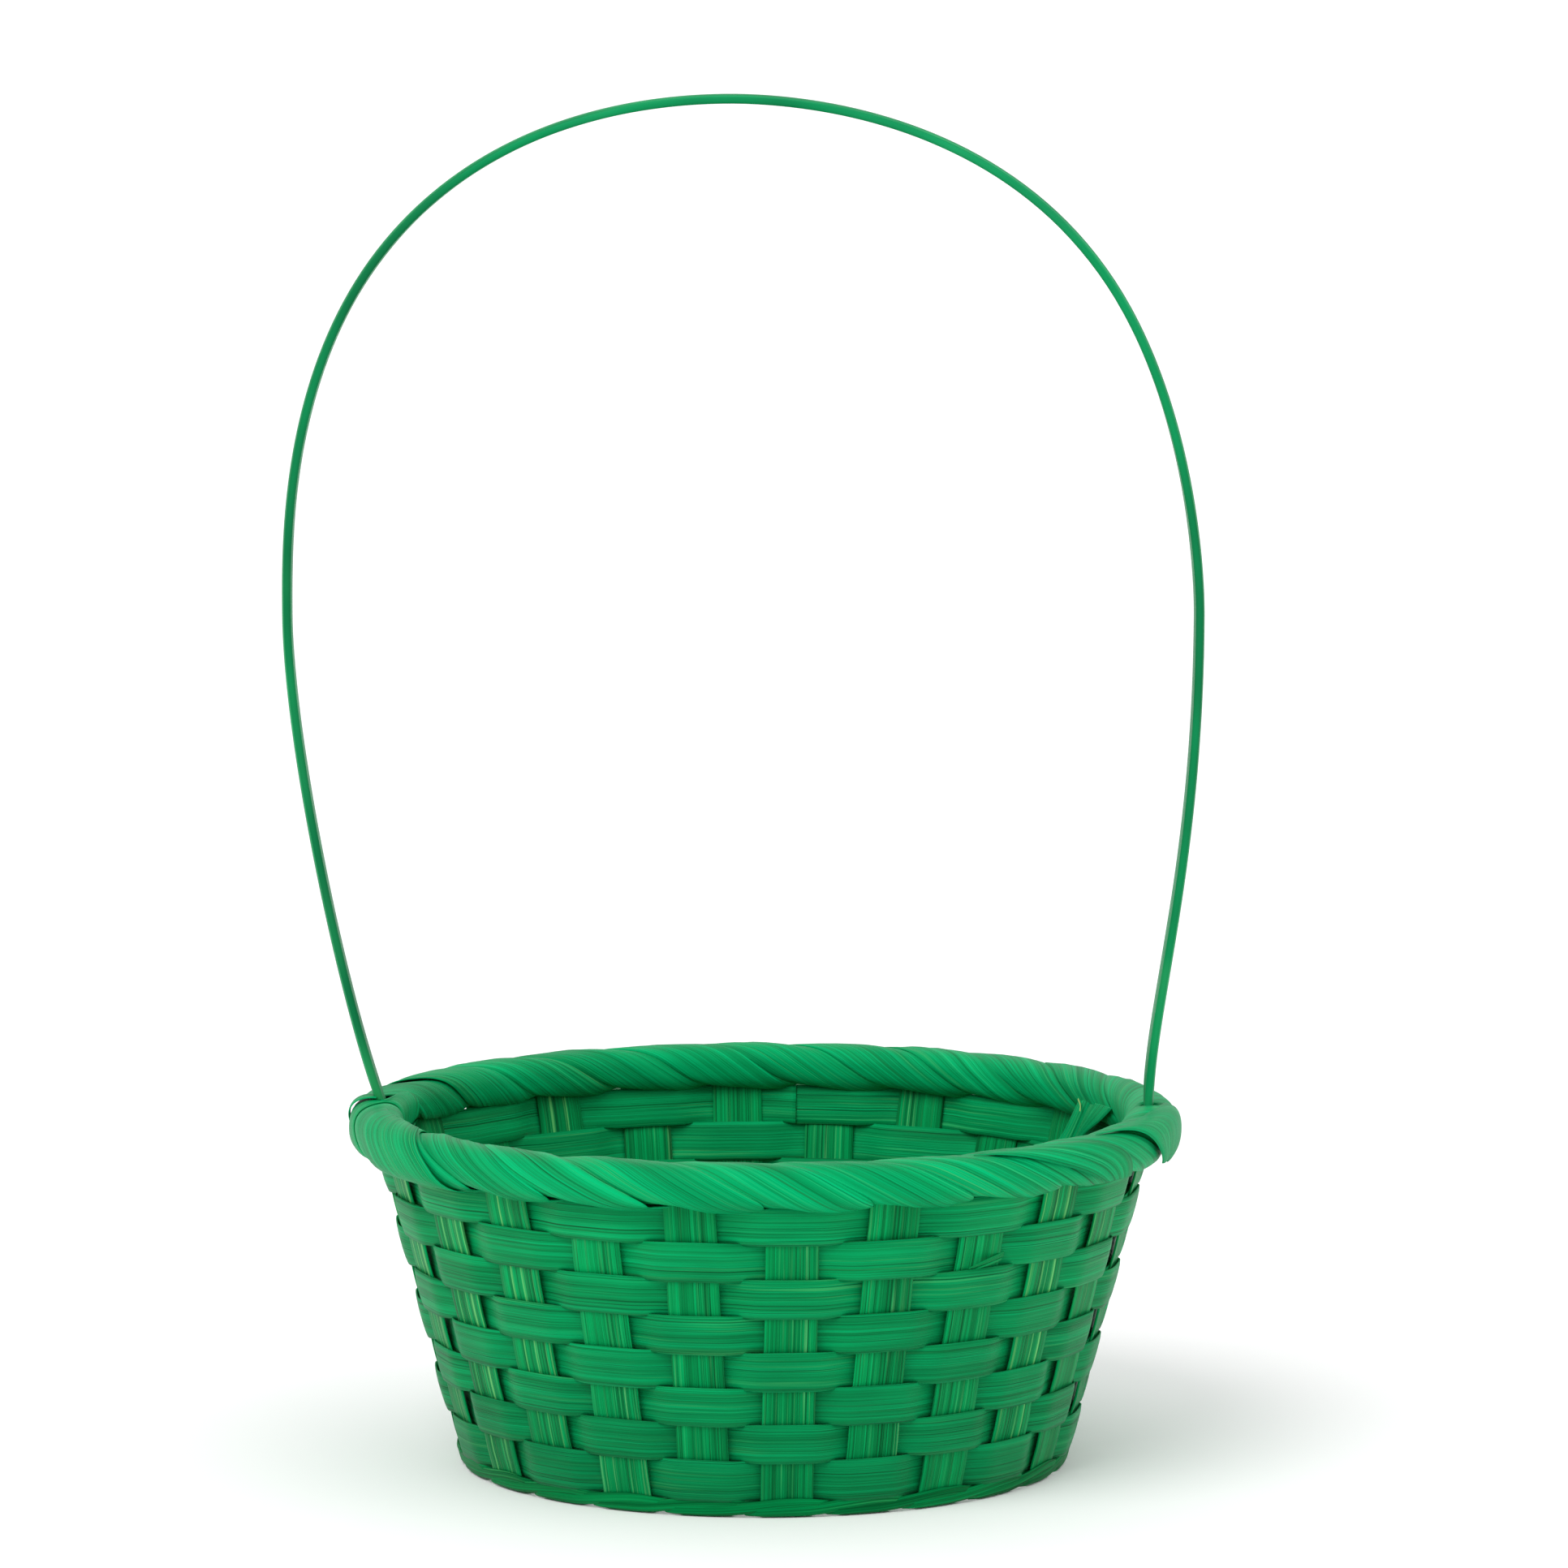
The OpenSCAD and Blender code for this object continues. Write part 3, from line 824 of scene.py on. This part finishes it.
def wrap_strip(plan, first):
    """One winding of the rim: grids of its middle surface and of its grain."""
    start, seed = plan["start"], plan["seed"] + 4 * first
    knots = wrap_knots(plan, first)
    grid, grain = [], []
    end = len(knots) - END_KNOTS
    for s in range(int((end - BEGIN_KNOTS) / 2 * WRAP_STEPS) + 1):
        place = BEGIN_KNOTS + 2 * s / WRAP_STEPS
        turn = (place - 1) / 2
        part = turn - math.floor(turn)
        p = 90 - 360 * part
        centre = through(knots, place)
        pinch = 1 - PINCH * math.exp(-(abs((part - 0.5) / PINCH_SPAN) ** PINCH_POWER))
        width = WRAP_WIDTH * pinch * (1 + WRAP_UNEVEN * wave(turn * UNEVEN_RATE, seed, 52))
        top = smooth((math.sin(math.radians(p)) - TOP_FROM) / TOP_SPAN)
        gap = LEG_GAP * beside_leg(rim_outline(p, 0)[0])
        lobe_height = LOBE + GATHERED_LOBE * (1 - pinch)
        points, uv = [], []
        for a in range(WRAP_PLACES):
            e = a / (WRAP_PLACES - 1)
            angle = centre + width * (e - 0.5)
            clear_of_legs = max(start + gap, min(start + 180 - gap, angle))
            angle += top * (clear_of_legs - angle)
            lobe = lobe_height * math.sin(math.pi * e)
            ridge = RIDGE * wave(turn * RIDGE_RATE, e * RIDGE_ACROSS, seed + 53)
            pleat = wave(turn * PLEAT_RATE, e * PLEAT_ACROSS, seed + 54) - PLEAT_FROM
            pleat = PLEAT * max(0.0, pleat)
            lift = OVER_NEXT * smooth(e / OVER_SPAN) + lobe + ridge + pleat - WRAP_SINK
            o = rim_outline(p, WRAP_T / 2 + max(0.0, lift))
            points.append(polar(RIM_R + o[0], angle, RIM_Z + o[1]))
            across = width * (e - 0.5) * DEGREE_GRAIN + seed * WRAP_GRAIN
            uv.append((turn * TURN_GRAIN, across * MM))
        grid.append(points)
        grain.append(uv)
    return grid, grain


def joined(name, meshes):
    """One mesh out of several."""
    objects = []
    for mesh in meshes:
        obj = bpy.data.objects.new(name, mesh)
        bpy.context.scene.collection.objects.link(obj)
        objects.append(obj)
    with bpy.context.temp_override(active_object=objects[0], selected_editable_objects=objects):
        bpy.ops.object.join()
    mesh = objects[0].data
    bpy.data.objects.remove(objects[0])
    return mesh


def wrap_piece(name, plan, material, node):
    """The two windings over one half of the rim, each turn lying over the next one's edge."""
    parts = []
    for first in plan["first"]:
        grid, grain = wrap_strip(plan, first)
        parts.append(thick_strip(f"{name}_{first}", grid, WRAP_T, WRAP_EDGE, grain))
    return make_piece(name, joined(name, parts), "rim_wrap", material, node)


# --- loose ends, folds and splinters ---

LOOSE_STEPS = 26
LOOSE_PLACES = 7
FLAP_T = 0.6
TAIL_T = 0.5
FIBRE_T = 0.35
TEAR_RATE = 9
# Distance in metres across the grain from one loose strip's wood to the next one's
LOOSE_GRAIN = 0.04
# How far out a fibre bows, and its thickness at the middle and the tip as shares of the root's
FIBRE_BOW = 0.4
FIBRE_TAPER = (1, 0.8, 0.25)


def spline(points, t):
    """Smooth curve through evenly spaced points, for t from 0 to 1."""
    points = np.array(points, float)
    last = len(points) - 1
    k = min(int(t * last), last - 1)
    before, after = points[max(k - 1, 0)], points[min(k + 2, last)]
    return curve_between(before, points[k], points[k + 1], after, t * last - k)


def on_rim(place):
    """Point over the rim at (azimuth, angle round the section, height over the hoops)."""
    angle, p, grow = place
    o = rim_outline(p, grow)
    return polar(RIM_R + o[0], angle, RIM_Z + o[1])


def in_space(place):
    """Point at (azimuth, radius, z)."""
    angle, radius, z = place
    return polar(radius, angle, z)


def loose_strip(name, left, right, where, thickness, material, slot, seed, ragged=0.0):
    """A strip between two edges, each a list of places, with a torn end where ragged is above 0."""
    grid, grain = [], []
    length = np.linalg.norm(where(left[0]) - where(left[-1])) * MM
    width = np.linalg.norm(where(left[0]) - where(right[0])) * MM
    for s in range(LOOSE_STEPS + 1):
        points, uv = [], []
        for a in range(LOOSE_PLACES):
            e = a / (LOOSE_PLACES - 1)
            tear = ragged * (0.5 + 0.5 * wave(e * TEAR_RATE, seed, 71))
            t = s / LOOSE_STEPS * (1 - tear)
            place = (1 - e) * spline(left, t) + e * spline(right, t)
            points.append(where(place))
            uv.append((t * length, e * width + seed * LOOSE_GRAIN))
        grid.append(points)
        grain.append(uv)
    mesh = thick_strip(name, grid, thickness, LOOSE_EDGE, grain)
    return make_piece(name, mesh, slot, material)


def rim_flaps(material):
    """Turns that lie proud of their neighbours, and the free ends beside the right leg."""
    left = [(193, 105, 2.6), (198, 55, 3.3), (203, 5, 3.4), (208.5, -60, 2.6)]
    right = [(211.7, 100, 2.3), (217, 50, 3.0), (222, 0, 3.0), (227, -68, 2.4)]
    loose_strip("proud_turn", left, right, on_rim, FLAP_T, material, "rim_wrap", 40)
    left = [(-31, 82, 2.0), (-24.5, 48, 3.2), (-20, 12, 3.4), (-16.5, -32, 3.8)]
    right = [(-8, 82, 2.0), (1, 42, 2.6), (-3, 4, 3.1), (-13.5, -38, 4.0)]
    loose_strip("free_end", left, right, on_rim, FLAP_T, material, "rim_wrap", 41, 0.12)
    left = [(-56, 75, 1.8), (-47, 30, 2.6), (-39, -5, 2.9), (-33, -38, 3.1)]
    right = [(-42, 80, 2.0), (-34, 45, 2.8), (-28.5, 8, 3.2), (-27.5, -34, 3.8)]
    loose_strip("lifted_corner", left, right, on_rim, FLAP_T, material, "rim_wrap", 42, 0.05)
    left = [(182.2, 88, 2.2), (183, 60, 2.7), (183.2, 30, 2.7), (182.5, 2, 1.9)]
    right = [(178.6, 88, 2.2), (179.4, 60, 2.9), (179.8, 30, 2.9), (179.6, 2, 2.1)]
    loose_strip("leg_loop", left, right, on_rim, TAIL_T, material, "rim_wrap", 43)


def tail_end(material):
    """The wrapping's tail, folded over inside the rim beside the right leg."""
    left = [(25.5, 113.2, 105.6), (27, 112.2, 101), (29.5, 112.3, 95), (31.5, 112.6, 89)]
    right = [(15, 113.0, 106.8), (20, 111.6, 101), (26.5, 111.7, 95), (31, 112.6, 88)]
    loose_strip("tail_fold", left, right, in_space, TAIL_T, material, "rim_wrap", 44)
    left = [(29.5, 113.4, 106.4), (31.5, 113.0, 101), (34.5, 113.2, 94), (38, 113.2, 87)]
    right = [(25.4, 113.2, 106.2), (26.8, 112.6, 101), (29.6, 112.7, 94), (32.5, 113.0, 87)]
    loose_strip("tail_strip", left, right, in_space, TAIL_T, material, "rim_wrap", 45)


def fibres(name, material, slot, places):
    """Fine splinters, each from a root to a tip, as (azimuth, radius, z), with its thickness."""
    for n, (root, tip, thick) in enumerate(places):
        middle = [(a + b) / 2 for a, b in zip(root, tip)]
        left = [root, (middle[0], middle[1] + FIBRE_BOW, middle[2]), tip]
        right = [(a, r, z + thick * share) for (a, r, z), share in zip(left, FIBRE_TAPER)]
        loose_strip(f"{name}_{n + 1}", left, right, in_space, FIBRE_T, material, slot, 50 + n)


def frayed_fibres(pale, dark):
    """Torn fibres that stand out under the rim, and a splinter beside an upright."""
    fibres("frayed_fibre", pale, "rim_wrap", [
        ((218.6, 121.4, 99.4), (219.6, 124.0, 97.9), 0.7),
        ((219.9, 121.4, 99.6), (219.2, 123.4, 98.2), 0.5),
        ((222.4, 121.6, 98.6), (224.8, 124.2, 99.2), 0.8),
        ((223.0, 121.6, 97.6), (224.6, 123.8, 98.3), 0.6),
        ((29.8, 112.8, 104.8), (27.4, 111.0, 102.2), 0.9),
    ])
    fibres("splinter", dark, "weavers", [
        ((312.4, 115.2, 79.2), (304.8, 118.2, 77.2), 1.6),
        ((311.8, 115.4, 78.0), (306.2, 117.6, 76.8), 0.9),
    ])


# --- handle ---

HANDLE_T = 3.1
HANDLE_W = 7.0
HANDLE_PLACES = 9
# Thickness of a foot, and the length over which it widens to the handle's
FOOT_T = 2.6
FOOT_LENGTH = 22
FOOT_R = 120.8
SEAT_Z = HOOP_TOP + 1.1
SEAT_STEPS = 8
SPAN_STEPS = 40
BOW_Z = 266.0
HANDLE_TOP = 426.5
TOP_SHIFT = 10.0
# Each side of the arch leaves the foot lean degrees out from upright, is widest at BOW_Z, bow
# out from the foot, and goes over a shoulder that is (in from the foot, down from the top)
# and slopes at turn degrees. arms are the lengths of its bends, from the foot to the top.
LEFT_ARCH = dict(bow=28.5, lean=20, shoulder=(4, 45), turn=50, arms=(32, 42, 20, 52, 48, 31))
RIGHT_ARCH = dict(bow=15, lean=0, shoulder=(8, 65), turn=61, arms=(31, 80, 20, 38, 67, 25))
# The strip twists a little all along, and more where the right side comes down
HANDLE_TWIST = (2.0, 120)
RIGHT_TWIST = 8.0
RIGHT_TWIST_FROM, RIGHT_TWIST_SPAN = 0.62, 0.2
HANDLE_UNEVEN = (0.03, 60)
# Share of the half thickness at the edges of the strip's rounded and flat faces, and the
# flat face's share of the width
ROUND_EDGE, ROUND_POWER = 0.35, 2.6
FLAT_EDGE = 0.93
FLAT_WIDTH = 0.9
HANDLE_RELIEF = (0.08, 25)
HANDLE_ACROSS = 2.1
HANDLE_GRAIN = 900


def bezier(p, s):
    """Point at share s of the curve with four control points."""
    r = 1 - s
    return r**3 * p[0] + 3 * s * r**2 * p[1] + 3 * s * s * r * p[2] + s**3 * p[3]


def arch_side(bow, lean, shoulder, turn, arms, top_x):
    """Middle line of one side of the arch, from the foot to the top, as (outwards, up)."""
    seat = np.array([FOOT_R, SEAT_Z])
    wide = np.array([FOOT_R + bow, BOW_Z])
    top = np.array([top_x, HANDLE_TOP])
    corner = np.array([FOOT_R - shoulder[0], HANDLE_TOP - shoulder[1]])
    up = np.array([math.sin(math.radians(lean)), math.cos(math.radians(lean))])
    over = np.array([-math.cos(math.radians(turn)), math.sin(math.radians(turn))])
    lift = np.array([0, 1.0])
    side = np.array([1.0, 0])
    spans = [
        [seat, seat + arms[0] * up, wide - arms[1] * lift, wide],
        [wide, wide + arms[2] * lift, corner - arms[3] * over, corner],
        [corner, corner + arms[4] * over, top + arms[5] * side, top],
    ]
    rise = (SEAT_Z - HOOP_LOW) / SEAT_STEPS
    line = [np.array([FOOT_R, HOOP_LOW + rise * k]) for k in range(SEAT_STEPS)]
    for span in spans:
        line += [bezier(span, k / SPAN_STEPS) for k in range(SPAN_STEPS)]
    return line + [top]


def handle(material):
    """The bow handle: one bent strip, rounded outside and flatter inside, with pared feet."""
    left = arch_side(**LEFT_ARCH, top_x=TOP_SHIFT)
    right = arch_side(**RIGHT_ARCH, top_x=-TOP_SHIFT)
    line = np.array([[-x, z] for x, z in left] + right[-2::-1])
    directions = np.gradient(line, axis=0)
    directions /= np.linalg.norm(directions, axis=1, keepdims=True)
    lengths = np.concatenate([[0], np.cumsum(np.linalg.norm(np.diff(line, axis=0), axis=1))])
    whole = lengths[-1]
    width_dir = np.array([0, 1.0, 0])
    round_face, flat_face, grain = [], [], []
    for (x, z), d, length in zip(line, directions, lengths):
        foot = smooth(max(0.0, 1 - min(length, whole - length) / FOOT_LENGTH))
        half_t = (HANDLE_T + (FOOT_T - HANDLE_T) * foot) / 2
        half_w = HANDLE_W * (1 + drift(HANDLE_UNEVEN, length, 0, 61)) / 2
        coming_down = smooth((length / whole - RIGHT_TWIST_FROM) / RIGHT_TWIST_SPAN)
        twist = drift(HANDLE_TWIST, length, 1, 62) + RIGHT_TWIST * coming_down * (1 - foot)
        t = math.radians(twist)
        out = np.array([-d[1], 0, d[0]])
        face = math.cos(t) * out + math.sin(t) * width_dir
        across = -math.sin(t) * out + math.cos(t) * width_dir
        centre = np.array([x, 0, z])
        rounded, flat, uv = [], [], []
        for a in range(HANDLE_PLACES):
            e = 2 * a / (HANDLE_PLACES - 1) - 1
            crown = half_t * (ROUND_EDGE + (1 - ROUND_EDGE) * (1 - abs(e) ** ROUND_POWER))
            inner = half_t * (FLAT_EDGE + (1 - FLAT_EDGE) * (1 - e * e))
            inner += drift(HANDLE_RELIEF, length, a * HANDLE_ACROSS, 63)
            rounded.append(centre + face * crown + across * half_w * e)
            flat.append(centre - face * inner + across * half_w * e * FLAT_WIDTH)
            uv.append((length * MM, (half_w * e + HANDLE_GRAIN) * MM))
        round_face.append(rounded)
        flat_face.append(flat)
        grain.append(uv)
    mesh = strip_mesh("handle_strip", flat_face, round_face, grain)
    return make_piece("bow_handle", mesh, "handle", material, "handle")


# --- stage, light and camera ---

# Camera: turn round the axis, distance and height in metres, shift to the side, pitch and lens
CAM_TURN = 3.1
CAM_DISTANCE = 2.4
CAM_HEIGHT = 0.489
CAM_SIDE = 0.0064
CAM_PITCH = 6.56
CAM_LENS = 177.4
CAM_SENSOR = 36
CAM_REACH = 50
# Floor's half width and depth under the basket, in metres, and its pale grey
FLOOR_REACH = 90.0
FLOOR_DROP = 0.0004
PAPER = 0.97
PAPER_ROUGHNESS = 0.9
SKY = 0.82
# Lamps: (name, direction of the light, strength, width in degrees)
LAMPS = [
    ("key", (0.5, 0.8, -0.85), 1.5, 40),
    ("fill", (-0.7, 0.5, -0.6), 0.45, 60),
]


def make_stage():
    """A pale paper floor that reaches past the camera's view."""
    mesh = bpy.data.meshes.new("studio_floor")
    r = FLOOR_REACH
    mesh.from_pydata([(-r, -r, 0), (r, -r, 0), (r, r, 0), (-r, r, 0)], [], [(0, 1, 2, 3)])
    floor = bpy.data.objects.new("studio_floor", mesh)
    floor.location.z = -FLOOR_DROP
    bpy.context.scene.collection.objects.link(floor)
    material, _, shader = new_material("studio_paper")
    shader.inputs["Base Color"].default_value = (PAPER, PAPER, PAPER, 1)
    shader.inputs["Roughness"].default_value = PAPER_ROUGHNESS
    shader.inputs["Specular IOR Level"].default_value = 0.0
    mesh.materials.append(material)


def make_world():
    """Even white light from all round."""
    world = bpy.data.worlds.new("studio")
    bpy.context.scene.world = world
    world.use_nodes = True
    background = world.node_tree.nodes["Background"]
    background.inputs["Color"].default_value = (1, 1, 1, 1)
    background.inputs["Strength"].default_value = SKY


def soft_sun(name, direction, strength, spread):
    """A far, wide lamp that shines the same on the whole floor."""
    data = bpy.data.lights.new(name, "SUN")
    data.energy = strength
    data.angle = math.radians(spread)
    lamp = bpy.data.objects.new(name, data)
    bpy.context.scene.collection.objects.link(lamp)
    lamp.rotation_euler = Vector(direction).to_track_quat("-Z", "Y").to_euler()


def make_camera():
    """A camera in the photo's place, with a long lens."""
    data = bpy.data.cameras.new("camera")
    data.lens = CAM_LENS
    data.sensor_width = CAM_SENSOR
    data.clip_end = CAM_REACH
    camera = bpy.data.objects.new("camera", data)
    bpy.context.scene.collection.objects.link(camera)
    turn = math.radians(CAM_TURN)
    x = CAM_DISTANCE * math.sin(turn) + CAM_SIDE * math.cos(turn)
    y = -CAM_DISTANCE * math.cos(turn) + CAM_SIDE * math.sin(turn)
    camera.location = (x, y, CAM_HEIGHT)
    camera.rotation_euler = (math.radians(90 - CAM_PITCH), 0, turn)
    bpy.context.scene.camera = camera


make_camera()
make_world()
make_stage()
for lamp in LAMPS:
    soft_sun(*lamp)
bpy.context.scene.view_settings.view_transform = "Standard"

# --- the basket ---

# The number in each material is the seed of its grain. A weaver's depends on its row.
FIRST_SEED, SEED_PER_ROW = 3, 7

for row in range(ROWS):
    seed = FIRST_SEED + SEED_PER_ROW * row
    name = f"weaver_wood_{row + 1}"
    wood = splint_material(name, seed, WEAVER_PALETTE, PALE_STREAK, WEAVER_LOOK)
    weaver(row, wood)

streaked_wood = splint_material("streaked_wood", 91, UPRIGHT_PALETTE, STREAK_STRAW, STREAKED_LOOK)
upright_wood = splint_material("upright_wood", 81, UPRIGHT_PALETTE, YELLOW_STREAK, UPRIGHT_LOOK)
for direction in (0, 1):
    for i in range(1, STRIPS + 1):
        streaked = f"{'xy'[direction]}{i}" in STREAKED_SPLINTS
        long_splint(i, direction, streaked_wood if streaked else upright_wood)

twine_wood = splint_material("twine_wood", 101, BASE_PALETTE, PALE_STREAK, TWINE_LOOK)
for strand in range(3):
    base_twine(strand, twine_wood)

wrap_wood = splint_material("wrap_wood", 111, WRAP_PALETTE, YELLOW_STREAK, WRAP_LOOK)
wrap_piece("wrap_front", FRONT_WRAP, wrap_wood, "rim_wrap_front")
wrap_piece("wrap_back", BACK_WRAP, wrap_wood, "rim_wrap_back")

rim_flaps(wrap_wood)
tail_end(wrap_wood)
straw_wood = splint_material("straw_wood", 141, STRAW_PALETTE, STRAW, TWINE_LOOK)
frayed_fibres(straw_wood, upright_wood)

handle_wood = splint_material("handle_wood", 121, HANDLE_PALETTE, PALE_STREAK, HANDLE_LOOK)
handle(handle_wood)

# The wrapping hides the hoops, so they keep their CAD nodes
hoop_wood = splint_material("hoop_wood", 131, BASE_PALETTE, PALE_STREAK, TWINE_LOOK)
for name in ("rim_inner_hoop", "rim_outer_hoop"):
    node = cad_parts[name]
    node.data.materials.clear()
    node.data.materials.append(hoop_wood)
